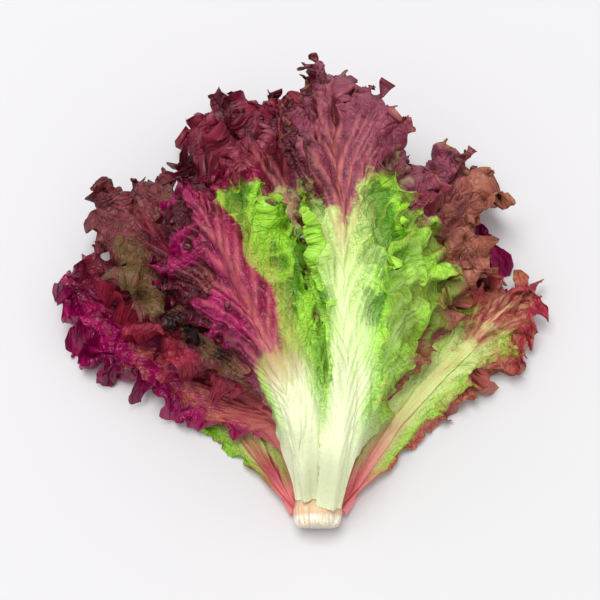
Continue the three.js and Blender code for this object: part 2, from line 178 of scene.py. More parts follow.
# The leaves from the lowest in the pile to the topmost
LEAVES = {
    "leaf_right_back": leaf(155, 15, 15, 34, [0, 4, 6], 170, 228, 0.85, 7, ruffle=1),
    "leaf_under_middle": leaf(-165, 19, 14, -2, [0, 0, 6], -180, 232, 0.9, 1, ruffle=0.8),
    "leaf_under_right": leaf(175, 24, 12, 20, [0, 2, 6], 178, 220, 0.85, 5),
    "leaf_low_left": leaf(-118, 10, 36, -38, [0, 2, 6], -176, 180, 0.65, 2, bend=-20, lean=-0.35),
    "leaf_low_right": leaf(112, 10, 34, 43, [0, 4, 4], 172, 234, 0.55, 3, bend=22, waist=(0.6, 1),
                           ruffle=0.8),
    "leaf_left_low": leaf(-128, 23, 14, -54, [0, 3, 2], -174, 242, 0.75, 6, bend=-14),
    "leaf_under_left": leaf(-158, 29, 10, -22, [0, 2, 6], -178, 215, 0.85, 4),
    "leaf_left_dark": leaf(-128, 34, 9, -43, [2, 4, 4], -168, 214, 0.85, 8, ruffle=1),
    "leaf_heart": leaf(10, 39, 4, 4, [4, 6, 4], 6, 205, 0.75, 10, ruffle=1),
    "leaf_back_left": leaf(-30, 34, 6, -12, [8, 6, 8], -8, 306, 0.7, 12),
    "leaf_left_upper": leaf(-52, 29, 9, -39, [6, 4, 2], -12, 274, 0.62, 9, bend=-10, lean=0.15),
    "leaf_right_upper": leaf(52, 29, 9, 25, [8, 6, 4], 14, 272, 0.72, 11, bend=10),
    "leaf_middle_green": leaf(0, 24, 11, -8, [12, 8, 2], -4, 284, 0.75, 14),
    "leaf_right_inner": leaf(50, 19, 13, 10, [10, 7, 3], 10, 250, 0.75, 16),
    "leaf_left_top": leaf(-26, 15, 15, -25, [14, 8, 0], -12, 232, 0.76, 13, lean=0.1, waist=(0.45, 0.8)),
    "leaf_top": leaf(30, 10, 18, -2, [14, 6, 12], 3, 350, 0.48, 15, bend=-8,
                     waist=(0.4, 1), droop=0.3, curl=(150, 0, 40)),
}


def rgb(red, green, blue):
    """A colour from its 0 to 255 screen values."""
    return tuple(((c / 255 + 0.055) / 1.055) ** 2.4 for c in (red, green, blue)) + (1,)


# Ribs and feet
CREAM = rgb(244, 250, 210)
STRAW = rgb(232, 202, 150)
CORAL = rgb(255, 150, 156)
BLUSH = rgb(212, 120, 110)
ROSE = rgb(208, 112, 106)

# Greens
PALE_GREEN = rgb(220, 248, 150)
SPRING_GREEN = rgb(178, 238, 72)
BRIGHT_GREEN = rgb(158, 222, 54)
OLIVE = rgb(176, 190, 76)
MOSS = rgb(144, 178, 56)
MID_GREEN = rgb(92, 156, 26)
DEEP_GREEN = rgb(44, 92, 14)

# Reds and purples
MAGENTA = rgb(174, 12, 98)
DEEP_MAGENTA = rgb(96, 2, 50)
CRIMSON = rgb(172, 36, 66)
BRICK = rgb(178, 46, 72)
WINE = rgb(164, 32, 78)
PLUM = rgb(146, 42, 66)
PURPLE = rgb(158, 74, 98)
DEEP_PURPLE = rgb(96, 30, 48)
MAROON = rgb(84, 10, 34)
NEAR_BLACK = rgb(30, 6, 12)

# Browns
ORANGE = rgb(216, 128, 96)
RUSSET = rgb(192, 108, 88)
TAN = rgb(184, 112, 92)
DRY_TAN = rgb(186, 128, 76)
BROWN = rgb(148, 82, 52)
UMBER = rgb(124, 58, 62)
BARK = rgb(110, 86, 50)
BRONZE = rgb(92, 50, 28)
SHADE = rgb(58, 22, 14)

# The cut stem
FLESH = (rgb(206, 190, 154), rgb(246, 240, 228))
SCAR = rgb(206, 146, 78)
CUT_RIM = rgb(150, 96, 60)


def look(slot, fresh, green, red, rib, tip=(0.6, 0.9), edge=0.3, base=0.0, blush=(0.3, 0.7),
         pale=(45, 120), crumple=5.0, ridges=1.4, right=(0, 1), dry=0.0, rough=0.4, drawn="side"):
    """One leaf's colours and how finely it is drawn. fresh is the blade beside the midrib. green has the
    colour of what stands out, its painted light, and that of the hollows, their painted shade, red those
    two and, if it differs, that of the right half, and rib the ribs' colour at the foot and further out.
    tip and blush are the shares of the length over which the tip turns red and the ribs turn to their
    second colour, and pale the way in millimetres over which the foot takes the blade's colour. base, edge
    and right are the redness of the whole blade, of the margin and of the right half, with how far that
    goes. crumple and ridges are the heights of the folds and side veins, dry tells how brown the margin is
    and rough how dull the surface."""
    red = (*red, red[0])[:3]
    return dict(slot=slot, fresh=fresh, green=green, red=red, rib=rib, tip=tip, edge=edge, base=base,
                blush=blush, pale=pale, crumple=crumple, ridges=ridges, right=right, dry=dry, rough=rough,
                drawn=drawn)


# In each look the first colour of green and of red is painted light on what stands out, and the second is
# painted shade in the hollows
LOOKS = {
    "leaf_right_back": look("magenta_leaf", OLIVE, (ORANGE, DEEP_GREEN), (MAGENTA, MAROON),
                            (BLUSH, CRIMSON), base=0.85, crumple=7, rough=0.33),
    "leaf_under_middle": look("bronze_leaf", PALE_GREEN, (MID_GREEN, DEEP_GREEN), (BROWN, BRONZE),
                              (CREAM, BLUSH), drawn="hidden"),
    "leaf_under_right": look("dark_leaf", OLIVE, (MID_GREEN, DEEP_GREEN), (MAROON, NEAR_BLACK),
                             (CREAM, BLUSH), base=0.6, drawn="hidden"),
    "leaf_low_left": look("green_leaf", PALE_GREEN, (BRIGHT_GREEN, MID_GREEN), (MAGENTA, MAROON),
                          (CORAL, CRIMSON), tip=(0.5, 0.95), edge=0.4, blush=(0, 0.2), pale=(5, 60),
                          crumple=6, dry=0.5),
    "leaf_low_right": look("green_leaf", PALE_GREEN, (SPRING_GREEN, OLIVE), (RUSSET, CRIMSON),
                           (CORAL, STRAW), tip=(0.45, 0.88), edge=0.55, base=0.12, blush=(0.1, 0.35),
                           pale=(5, 60), crumple=9, dry=0.8, drawn="front"),
    "leaf_left_low": look("magenta_leaf", ORANGE, (ORANGE, BROWN), (PLUM, DEEP_MAGENTA, MAGENTA),
                          (BLUSH, CRIMSON), base=0.5, blush=(0.1, 0.5), crumple=8, ridges=2.4, rough=0.28,
                          drawn="front"),
    "leaf_under_left": look("dark_leaf", OLIVE, (MID_GREEN, DEEP_GREEN), (MAROON, NEAR_BLACK),
                            (CREAM, BLUSH), base=0.7, drawn="hidden"),
    "leaf_left_dark": look("dark_leaf", PLUM, (BRONZE, DEEP_GREEN), (MAROON, NEAR_BLACK, BRICK),
                           (CRIMSON, MAROON), base=0.9, blush=(0.1, 0.4), crumple=5, ridges=2),
    "leaf_heart": look("green_leaf", PALE_GREEN, (BRIGHT_GREEN, MID_GREEN), (PURPLE, MAROON),
                       (CREAM, BLUSH), tip=(0.75, 1), drawn="hidden"),
    "leaf_back_left": look("dark_leaf", OLIVE, (BROWN, DEEP_GREEN), (PLUM, DEEP_PURPLE),
                           (BLUSH, CRIMSON), tip=(0.45, 0.7), base=0.9, crumple=9),
    "leaf_left_upper": look("bronze_leaf", MAROON, (BARK, NEAR_BLACK), (UMBER, MAROON),
                            (BLUSH, CRIMSON), tip=(0.6, 0.9), base=0.15, blush=(0.2, 0.5), crumple=8,
                            ridges=2),
    "leaf_right_upper": look("bronze_leaf", OLIVE, (MOSS, BROWN), (PURPLE, DEEP_PURPLE, TAN),
                             (CREAM, BLUSH), tip=(0.5, 0.8), base=0.2, edge=0.5, pale=(15, 60), crumple=9,
                             ridges=2, dry=0.9),
    "leaf_middle_green": look("green_leaf", PALE_GREEN, (SPRING_GREEN, MOSS), (PLUM, DEEP_PURPLE),
                              (CREAM, BLUSH), tip=(0.46, 0.7), edge=0.15, pale=(15, 60), crumple=10,
                              drawn="front"),
    "leaf_right_inner": look("green_leaf", SPRING_GREEN, (SPRING_GREEN, MOSS), (PURPLE, PLUM),
                             (CREAM, PALE_GREEN), tip=(0.62, 0.82), edge=0.4, pale=(15, 60), crumple=7,
                             dry=0.6),
    "leaf_left_top": look("magenta_leaf", OLIVE, (BRIGHT_GREEN, MID_GREEN), (MAGENTA, MAROON, WINE),
                          (CREAM, ROSE), tip=(0.24, 0.42), edge=0.5, blush=(0.2, 0.4), pale=(50, 100),
                          crumple=7, ridges=2.4, right=(-1.1, 0.8), rough=0.32, drawn="front"),
    "leaf_top": look("pale_leaf", PALE_GREEN, (SPRING_GREEN, MID_GREEN), (PURPLE, DEEP_PURPLE),
                     (CREAM, BLUSH), tip=(0.41, 0.6), edge=0.05, blush=(0.34, 0.5), pale=(45, 150),
                     crumple=8, ridges=1.8, right=(-0.5, 0.55), dry=0.7, drawn="front"),
}


# Smooth curves, fixed phases and noise

def smoothstep(x, low, high):
    t = np.clip((x - low) / (high - low), 0, 1)
    return t * t * (3 - 2 * t)


def lerp(a, b, t):
    return a + (b - a) * t


def through(values, t):
    """The value at share t of a smooth curve through evenly spaced values."""
    return along_curve(np.asarray(values, float)[None], np.clip(t, 0, 1) * (len(values) - 1))[0]


def along_curve(values, position):
    """Each row of values as a smooth curve, read at the given positions in steps from its first value."""
    last = values.shape[1] - 1
    i = np.clip(np.floor(position).astype(int), 0, last - 1)
    f = position - i
    before = values[:, np.maximum(i - 1, 0)]
    here = values[:, i]
    there = values[:, i + 1]
    after = values[:, np.minimum(i + 2, last)]
    slope_in = (there - before) / 2
    slope_out = (after - here) / 2
    rise = there - here
    return here + f * (slope_in + f * (3 * rise - 2 * slope_in - slope_out
                                       + f * (slope_in + slope_out - 2 * rise)))


def phase(seed, use):
    """A fixed angle for each seed and each use of it."""
    x = math.sin(seed * 12.9898 + use * 78.233) * 43758.5453
    return 2 * math.pi * (x - math.floor(x))


def scatter(i, j, seed):
    """A fixed value from 0 to 1 for each whole-number place of a plane."""
    x = np.sin(i * 127.1 + j * 311.7 + seed * 74.7) * 43758.5453
    return x - np.floor(x)


def noise(x, y, seed):
    """Smooth noise from -1 to 1."""
    i, j = np.floor(x), np.floor(y)
    f, g = smoothstep(x - i, 0, 1), smoothstep(y - j, 0, 1)
    low = lerp(scatter(i, j, seed), scatter(i + 1, j, seed), f)
    high = lerp(scatter(i, j + 1, seed), scatter(i + 1, j + 1, seed), f)
    return 2 * lerp(low, high, g) - 1


def scallops(x, seed):
    """Rounded lobes, each about one wide, with narrow notches between them, from -1 to 1."""
    place = np.abs(np.sin(np.pi * (x + 0.7 * noise(x * 0.6, 0 * x, seed))))
    return 2 * np.sqrt(place) * (0.8 + 0.2 * noise(x * 0.5, 0 * x, seed + 3)) - 1


def cells(x, y, seed):
    """Distance to the nearest of points strewn over the plane, about one a unit square."""
    i, j = np.floor(x), np.floor(y)
    nearest = np.full(np.shape(x), 9.0)
    for di in (-1, 0, 1):
        for dj in (-1, 0, 1):
            a, b = i + di, j + dj
            away = np.hypot(a + scatter(a, b, seed) - x, b + scatter(a, b, seed + 5) - y)
            nearest = np.minimum(nearest, away)
    return nearest


# The leaf's form

def midrib_path(one):
    """The midrib's course: places and directions at even steps of its length."""
    axis = np.array([0, math.cos(STEM_PITCH), math.sin(STEM_PITCH)])
    stem_up = np.array([0, -axis[2], axis[1]])
    radial = stem_up * math.cos(one["turn"]) + np.array([math.sin(one["turn"]), 0, 0])
    off = through(STEM_PROFILE, one["station"] / STEM_LENGTH) + BLADE_THICKNESS / 2 + GAP
    start = axis * one["station"] + radial * off + np.array([0, 0, STEM_HEIGHT])
    leaving = axis * math.cos(one["opens"]) + radial * math.sin(one["opens"])
    along = np.arange(0, math.floor(one["length"] * 1.2 / PATH_STEP) + 1) * PATH_STEP
    share = along / one["length"]
    heading = np.radians(one["heading"] + one["bend"] * (share - 0.5))
    pitch = np.radians(through(one["pitch"], share))
    going = np.stack([np.sin(heading) * np.cos(pitch), np.cos(heading) * np.cos(pitch), np.sin(pitch)], 1)
    tangent = unit(lerp(leaving, going, smoothstep(along, *FOOT_TURNS)[:, None]))
    side = unit(np.stack([tangent[:, 1], -tangent[:, 0], np.zeros(len(along))], 1))
    up = np.cross(side, tangent)
    roll = lerp(one["turn"], one["lie"], smoothstep(along, *FOOT_ROLLS))[:, None]
    outward = up * np.cos(roll) + side * np.sin(roll)
    place = start + PATH_STEP * (np.cumsum(tangent, 0) - tangent)
    return place, np.cross(tangent, outward), outward


def unit(vectors):
    return vectors / np.maximum(np.linalg.norm(vectors, axis=-1, keepdims=True), 1e-12)


def vein_reach(one, q, teeth):
    """How far each vein q reaches, with the outline's lobes and scallops of the height teeth."""
    seed = one["seed"]
    k = np.abs(q)
    lobes = 1
    for (count, size), use in zip(LOBES, (1, 9)):
        lobes = lobes + size * np.sin(2 * np.pi * count * q + phase(seed, use))
    lobes = lobes * (1 - 3 * teeth * (1 - smoothstep(k, 0, 0.09)))
    broad, narrow = (scallops(q * count, seed + i) for i, count in enumerate(TEETH_COUNTS))
    lobes = lobes + teeth * (broad + 0.6 * narrow)
    waist = lerp(1, np.where(q < 0, *one["waist"]), smoothstep(k, 0.35, 0.7))
    widening = one["spread"] + one["lean"] * q
    return (one["length"] * through(VEIN_REACHES, k) * lobes * widening * waist
            + FOOT_HALF_WIDTH * smoothstep(k, 0.45, 1))


def vein_walks(one, q, steps, waves, teeth=0.0):
    """The way of each vein q from the midrib to the margin, in the flat leaf's axes, where it leaves the
    midrib and how far it reaches. q runs from -1 at the foot's left corner through 0 at the tip to 1 at the
    right corner."""
    seed = one["seed"]
    k = np.abs(q)
    start = RIB_SHARE * one["length"] * (1 - k) ** 0.85
    angle = np.radians(through(VEIN_ANGLES, k))
    reach = vein_reach(one, q, teeth)
    wander = 0.35 * np.sin(4.3 * q + phase(seed, 2)) + 0.2 * np.sin(9.1 * q + phase(seed, 3))
    swell = 1 + 0.3 * np.sin(7.7 * q + phase(seed, 4))
    calm = 1 - smoothstep(k, 0.72, 0.98)
    left, tip, right = one["curl"]
    curl = np.radians(lerp(tip, np.where(q < 0, left, right), smoothstep(k, 0.1, 0.45))) * calm
    share = ((np.arange(steps) + 0.5) / steps)[:, None]
    curled = curl * smoothstep(share, 0.4, 0.9) ** 1.5
    lift = 0 * curled
    sway = 0 * curled
    ruffled = lift
    for i, (count, swing, begins) in enumerate(waves):
        frill = i >= len(RUFFLES)
        grown = smoothstep(share, begins, 1) * calm * one["ruffle"]
        grown = grown * (lerp(0.35, 1, smoothstep(k, *TIP_CALM)) if frill else 1)
        uneven = 1 + 0.8 * noise(q * count * 0.4, share * 2, seed + i) if frill else 1
        turn = 2 * np.pi * count * (q + wander / count) + phase(seed, 5 + i)
        lift = lift + np.radians(swing) * swell * grown * uneven * np.sin(turn)
        sway = sway + (FRILL_SWAY if frill else RUFFLE_SWAY) * grown * np.cos(turn)
        ruffled = ruffled if frill else lift
    if len(waves) > len(RUFFLES):
        # the frills stop short of folding over
        lift = ruffled + STEEPEST * (np.tanh(lift / STEEPEST) - np.tanh(ruffled / STEEPEST))
    lift = lift + curled
    step = reach / steps
    course = np.sign(q) * angle + sway
    moves = [step * np.cos(lift) * np.sin(course), step * np.cos(lift) * np.cos(course), step * np.sin(lift)]
    begin = [0 * q, start, 0 * q]
    walks = np.stack([np.vstack([b, b + np.cumsum(move, 0)]) for b, move in zip(begin, moves)])
    return walks, start, reach


def read_walks(walks, position):
    """Points of the walks at the given numbers of steps, rows by columns."""
    last = walks.shape[1] - 1
    position = np.clip(position, 0, last - 1e-6)
    i = np.floor(position).astype(int)
    column = np.arange(walks.shape[2])[None]
    return lerp(walks[:, i, column], walks[:, i + 1, column], position - i)


def on_head(path, flat):
    """Carries points of the flat leaf onto their bent and cupped place on the head."""
    across, along, outward = flat
    cup = lerp(1 / FOOT_CUP_RADIUS, 1 / BLADE_CUP_RADIUS, smoothstep(along, *FOOT_OPENS))
    step = np.clip(along / PATH_STEP, 0, len(path[0]) - 1.001)
    i = np.floor(step).astype(int)
    f = (step - i)[..., None]
    place, sideways, out = (lerp(one[i], one[i + 1], f) for one in path)
    far = 1 / cup + outward
    aside = (far * np.sin(across * cup))[..., None]
    off = (far * np.cos(across * cup) - 1 / cup)[..., None]
    return place + sideways * aside + out * off


def rib_sizes(one, start, reach):
    """The rib's height and half width at each vein's root."""
    fade = 1 - start / (RIB_SHARE * one["length"])
    return RIB_HEIGHT * np.maximum(fade, 0) ** 0.8, np.minimum(1.5 + RIB_HALF_WIDTH * fade, 0.35 * reach)


def grid_index(rows, columns):
    """Vertex numbers, rows by columns, where both halves share the midrib's vertices, and the triangles."""
    half = columns // 2
    column = np.arange(columns + 1)
    midrib = np.minimum(column, columns - column)
    rest = half + 1 + np.arange(rows)[:, None] * (columns + 1) + column
    index = np.vstack([midrib, rest])
    a, b, c, d = index[:-1, :-1], index[:-1, 1:], index[1:, 1:], index[1:, :-1]
    triangles = np.stack([np.stack([a, b, c], -1), np.stack([a, c, d], -1)], 2).reshape(-1, 3)
    return index, triangles


def welded(index, values):
    """Values given rows by columns as one a vertex."""
    out = np.zeros((index.max() + 1,) + values.shape[2:])
    out[index[::-1]] = values[::-1]
    return out


def vertex_normals(vertices, triangles):
    a, b, c = (vertices[triangles[:, i]] for i in range(3))
    normal = np.cross(b - a, c - a)
    total = np.zeros_like(vertices)
    for i in range(3):
        for axis in range(3):
            total[:, axis] += np.bincount(triangles[:, i], normal[:, axis], len(vertices))
    return unit(total)


# The pile: its height over the surface on a grid of square cells

def cell_of(x):
    return np.clip(np.floor(x / CELL + GRID / 2 + 0.5).astype(int), 1, GRID - 2)


def spread_over(face, triangles):
    """Points spread over each triangle, and the number of the triangle of each."""
    a, b, c = (face[triangles[:, i]] for i in range(3))
    longest = np.max([np.linalg.norm(p - r, axis=1) for p, r in ((a, b), (b, c), (c, a))], 0)
    steps = np.ceil(longest / SAMPLE).astype(int)
    points, numbers = [], []
    for count in np.unique(steps):
        which = np.flatnonzero(steps == count)
        i, j = (grid.ravel() for grid in np.mgrid[0:count + 1, 0:count + 1])
        i, j = i[i + j <= count], j[i + j <= count]
        shares = np.stack([count - i - j, i, j]) / count
        corners = np.stack([a[which], b[which], c[which]])
        points.append(np.einsum("kp,ktx->tpx", shares, corners).reshape(-1, 3))
        numbers.append(np.repeat(which, len(i)))
    return np.concatenate(points), np.concatenate(numbers)


def around(grid, choose):
    """The highest or lowest value of each cell and its eight neighbours."""
    out = grid
    for di in (-1, 0, 1):
        for dj in (-1, 0, 1):
            out = choose(out, np.roll(grid, (di, dj), (0, 1)))
    return out


def laid_lift(vertices, triangles, along, rib, droop, pile):
    """How far each vertex is lifted so that the leaf lies on the pile, and the lifted vertices. The leaf is
    then added to the pile."""
    count = len(vertices)
    near = np.zeros((count, count))
    for i, j in ((0, 1), (1, 2), (2, 0)):
        near[triangles[:, i], triangles[:, j]] = 1
        near[triangles[:, j], triangles[:, i]] = 1
    near /= near.sum(1, keepdims=True)

    def evened(values, rounds, floor):
        now = values
        for _ in range(rounds):
            now = np.maximum(floor, (now + 2 * near @ now) / 3)
        return now

    top = around(pile, np.maximum)
    need = np.full(count, -np.inf)
    total, times = np.zeros(count), np.zeros(count)
    for face in blade_faces(vertices, triangles, rib):
        points, numbers = spread_over(face, triangles)
        wanted = top[cell_of(points[:, 1]), cell_of(points[:, 0])] + GAP - points[:, 2]
        for i in range(3):
            vertex = triangles[numbers, i]
            np.maximum.at(need, vertex, wanted)
            total += np.bincount(vertex, wanted, count)
            times += np.bincount(vertex, minlength=count)
    free = smoothstep(along, *FOOT_FREE)
    wanted = total / times + RISE
    slope = evened(np.where(wanted > 0, wanted, droop * wanted) * free, SLOPE_ROUNDS, -np.inf)
    cut = np.maximum(0, need - slope) * free
    lift = (slope + evened(cut, RAISE_ROUNDS, cut)) * (free > 0)
    settled = vertices + np.stack([0 * lift, 0 * lift, lift], 1)
    for face in blade_faces(settled, triangles, rib):
        points, _ = spread_over(face, triangles)
        np.maximum.at(pile, (cell_of(points[:, 1]), cell_of(points[:, 0])), points[:, 2])
    return lift, settled


def blade_faces(vertices, triangles, rib):
    """The outer and the inner face of a sheet as thick as the blade and its rib."""
    normals = vertex_normals(vertices, triangles)
    outer = vertices + normals * (BLADE_THICKNESS / 2 + rib)[:, None]
    return outer, vertices - normals * BLADE_THICKNESS / 2


def plain_sheet(one, pile):
    """The plain leaf, laid on the pile: its lift, rows by columns, and its settled faces."""
    q = 2 * np.arange(COLUMNS + 1) / COLUMNS - 1
    walks, start, reach = vein_walks(one, q, WALK_STEPS, RUFFLES)
    height, edge = rib_sizes(one, start, reach)
    index, triangles = grid_index(len(ROWS), COLUMNS)
    reached = np.vstack([0 * reach] + [lerp(edge, reach, share) for share in ROWS])
    flat = read_walks(walks, reached / (reach / WALK_STEPS))
    rib = welded(index, np.vstack([height, 0.2 * height] + [0 * height] * (len(ROWS) - 1)))
    vertices = welded(index, on_head(midrib_path(one), flat))
    lift, settled = laid_lift(vertices, triangles, welded(index, flat[1]), rib, one["droop"], pile)
    return lift[index], blade_faces(settled, triangles, rib)


# The drawn leaf

def even_columns(one, columns):
    """Vein numbers spaced so that the margin's points are about evenly apart, the same on both halves."""
    q = np.linspace(0, 1, 400)
    sides = [vein_walks(one, sign * q, WALK_STEPS, RUFFLES[:1])[0][:, -1] for sign in (-1, 1)]
    length = sum(np.linalg.norm(np.diff(side, axis=1), axis=0) for side in sides)
    length = np.concatenate([[0], np.cumsum(length / length.sum() + 0.25 / 399)])
    half = np.interp(np.linspace(0, length[-1], columns // 2 + 1), length, q)
    return np.concatenate([-half[::-1], half[1:]])


def vein_marks(one, q, across, along, u):
    """How close each point is to a side vein, from 0 to 1. The veins leave the midrib at a narrow angle and
    fan out, more closely near the foot, and finer ones begin between them further out."""
    back = (np.abs(across) / VEIN_FAN) ** (1 / VEIN_BEND)
    root = along - back + 4 * noise(across / 14, along / 22, one["seed"] + 9)
    slant = np.sin(np.arctan(VEIN_FAN * VEIN_BEND * np.maximum(back, 1) ** (VEIN_BEND - 1)))
    marks = 0 * u
    for side in (-1, 1):
        place, number = FIRST_VEIN, 0
        while place < LAST_VEIN * one["length"]:
            uneven = 1 + 0.35 * math.sin(phase(one["seed"], number + 31 + side))
            spacing = (VEIN_SPACING + VEIN_SPACING_GROWTH * place) * uneven
            for at, (wide, begins) in ((place, MAIN_VEIN), (place + spacing / 2, FINE_VEIN)):
                width = lerp(wide, 0.4 * wide, smoothstep(u, 0.05, 0.7))
                mark = np.exp(-(np.abs(root - at) * slant / width) ** 2) * (side * q > 0)
                mark *= smoothstep(u, begins, begins + 0.12) if begins else 1
                marks = np.maximum(marks, mark * (1 - smoothstep(u, 0.5, 0.95)))
            place += spacing
            number += 1
    return marks


def raised_by(lift, q, row):
    """How far the pile raises each drawn point, from the lift of the plain sheet's points."""
    by_column = along_curve(lift, (q + 1) / 2 * COLUMNS)
    i = np.clip(np.floor(row).astype(int), 0, len(ROWS) - 1)
    f = row - i
    column = np.arange(len(q))[None]
    return lerp(by_column[i, column], by_column[i + 1, column], smoothstep(f, 0, 1) * 0.5 + f * 0.5)


def relief_of(one, colours, q, u, row, across, along, height):
    """How far the outer face stands out at each point, and the parts of that: the side veins, the midrib's
    share, the folds, and the folds with the blisters."""
    seed = one["seed"]
    veins = vein_marks(one, q, across, along, u)
    rib = height * through(RIB_PROFILE, row / 2)
    midrib = 1 - smoothstep(row, 0.45, 1.25)
    past_foot = smoothstep(along, *PAST_FOOT)
    aside = across + SWERVE * noise(across / SWERVE_WIDTH, along / SWERVE_WIDTH, seed + 6)
    ahead = along + SWERVE * noise(across / SWERVE_WIDTH, along / SWERVE_WIDTH, seed + 7)
    creases = 1 - 2.4 * np.abs(noise(aside / CREASE_WIDTH, ahead / CREASE_WIDTH, seed + 4))
    crinkles = 1 - 2.4 * np.abs(noise(aside / CRINKLE_WIDTH, ahead / CRINKLE_WIDTH, seed + 8))
    broad, narrow = FOLD_SHARES
    waves = broad * noise(q * 9, u * 1.8, seed) + narrow * noise(q * 21, u * 3.5, seed + 1)
    folds = waves + CREASE_SHARE * creases + CRINKLE_SHARE * crinkles
    folds = folds * smoothstep(u, 0.08, 0.45) * colours["crumple"] * past_foot
    centres = cells(across / BLISTER_WIDTH, along / BLISTER_WIDTH, seed)
    blisters = (0.55 - centres) * BLISTER_HEIGHT * smoothstep(u, 0.1, 0.35) * past_foot
    flutes = FLUTE_HEIGHT * np.sin(across * 0.9 + 3 * noise(across / 9, along / 60, seed))
    flutes = flutes * (1 - past_foot) * (1 - midrib)
    swelling = folds + blisters * (1 - 0.7 * veins)
    uneven = 0.7 + 0.5 * noise(across / 20, along / 26, seed + 13)
    relief = rib + flutes + swelling + colours["ridges"] * veins * uneven * (1 - 0.8 * u)
    return relief, veins, midrib, folds, swelling


def closed_body(index, triangles, vertices, row, relief, folds):
    """The outer face, closed to a solid body by the rib's inner side and the rib's two ends at the foot.
    Gives the points, the faces and the vertices that the inner side repeats."""
    columns = index.shape[1] - 1
    normals = vertex_normals(vertices, triangles)
    outer = vertices + normals * welded(index, relief)[:, None]
    kept = np.unique(index[:RIB_ROWS + 1])
    inward = np.where(welded(index, row)[kept] > 1.6, 0.0, BLADE_THICKNESS)
    folded = welded(index, folds)[kept]
    inner = vertices[kept] - normals[kept] * inward[:, None] + normals[kept] * folded[:, None]
    inner_of = np.zeros(len(vertices), int)
    inner_of[kept] = len(vertices) + np.arange(len(kept))
    back = triangles[:2 * RIB_ROWS * columns][:, [0, 2, 1]]
    ends = []
    for side, order in ((0, (0, 1, 2, 3)), (columns, (3, 2, 1, 0))):
        for r in range(RIB_ROWS):
            a, b = index[r, side], index[r + 1, side]
            ring = [(a, b, inner_of[b], inner_of[a])[k] for k in order]
            ends.append(ring[:3])
            ends.append([ring[0], ring[2], ring[3]])
    return np.vstack([outer, inner]), np.vstack([triangles, inner_of[back], np.array(ends)]), kept


def markings(one, colours, u, across, along, midrib, veins, swelling):
    """Each point's markings: how pale and how red it is, how far it stands out, which sets the painted light
    and shade of its colour, and how pink its rib is.
    """
    seed = one["seed"]
    t = along / one["length"]
    patches = noise(across / 22, along / 22, seed + 3)
    right_redness, right_end = colours["right"]
    right = smoothstep(across + 5 * patches, 6, 18) * (1 - smoothstep(t, right_end - 0.05, right_end + 0.03))
    red = (colours["base"] + smoothstep(t + 0.06 * patches, *colours["tip"])
           + colours["edge"] * smoothstep(u + 0.15 * patches, 0.55, 1)
           + right_redness * right)
    foot = 1 - smoothstep(along + 14 * patches, *colours["pale"])
    foot = foot * (1 - 0.85 * smoothstep(u + 0.1 * patches, 0.35, 0.8) * smoothstep(along, 20, 55))
    broken = 1 - 0.5 * smoothstep(noise(across / 9, along / 12, seed + 12), 0, 0.6)
    pale = np.maximum(np.maximum(foot, midrib), veins * broken * (1 - 0.8 * u))
    # how far the point stands out by its folds, blisters and veins, which sets the painted light on raised
    # parts and the painted shade in the hollows
    relief_for_painted_shade = 0.5 + swelling / 6.5 + 0.2 * veins
    pink = smoothstep(t, *colours["blush"])
    return np.clip(np.stack([pale, red, relief_for_painted_shade, pink], -1), 0, 1)


def drawn_leaf(name, one, lift, ceiling, set_down):
    """The finely drawn leaf as a mesh object, with its markings as attributes. ceiling is the lowest height
    of the leaves above it, and set_down carries points from the pile's frame to the object's."""
    colours = LOOKS[name]
    columns, rows = FINENESS[colours["drawn"]]
    q = even_columns(one, columns)
    u = (np.linspace(0, 1, rows + 1) ** 0.9)[:, None] + 0 * q
    walks, start, reach = vein_walks(one, q, FINE_WALK_STEPS, RUFFLES + FRILLS, TEETH)
    height, edge = rib_sizes(one, start, reach)
    flat = read_walks(walks, u * FINE_WALK_STEPS)
    across, along, _ = flat
    reached = u * reach
    # where each point stands between the plain sheet's rows
    past_rib = np.interp((reached - edge) / (reach - edge), ROWS, np.arange(len(ROWS)))
    row = np.where(reached < edge, reached / edge, 1 + past_rib)
    points = on_head(midrib_path(one), flat)
    points[..., 2] += raised_by(lift, q, row)

    relief, veins, midrib, folds, swelling = relief_of(one, colours, q, u, row, across, along, height)
    index, triangles = grid_index(rows, columns)
    body, faces, kept = closed_body(index, triangles, welded(index, points), row, relief, folds)
    places = under(body, ceiling)
    free = places[places[:, 1] > FREE_OF_STEM]
    np.minimum.at(ceiling, (cell_of(free[:, 1]), cell_of(free[:, 0])), free[:, 2])

    marks = welded(index, markings(one, colours, u, across, along, midrib, veins, swelling))
    where = welded(index, np.stack([across / 10, along / 10, u], -1))
    return mesh_piece(name + "_blade", set_down(places), faces, np.vstack([marks, marks[kept]]),
                      np.vstack([where, where[kept]]))


def under(points, ceiling):
    """The points, with those that would poke through the leaves above brought down to just below them."""
    lowest = around(ceiling, np.minimum)
    room = lowest[cell_of(points[:, 1]), cell_of(points[:, 0])] - GAP
    out = points.copy()
    out[:, 2] = np.where((points[:, 1] > FREE_OF_STEM) & (points[:, 2] > room), room, points[:, 2])
    return out


def mesh_piece(name, places, faces, marks, where):
    """A smooth mesh object. marks are the markings of its points and where is each point's place on the flat
    leaf in centimetres, with the share of the way to the margin."""
    mesh = bpy.data.meshes.new(name)
    mesh.from_pydata((places * MM).tolist(), [], faces.tolist())
    for key, kind, part, values in (("marks", "FLOAT_COLOR", "color", marks),
                                    ("where", "FLOAT_VECTOR", "vector", where)):
        attribute = mesh.attributes.new(key, kind, "POINT")
        attribute.data.foreach_set(part, values.astype(np.float32).ravel())
    mesh.shade_smooth()
    mesh.update()
    piece = bpy.data.objects.new(name, mesh)
    bpy.context.scene.collection.objects.link(piece)
    return piece


# Materials

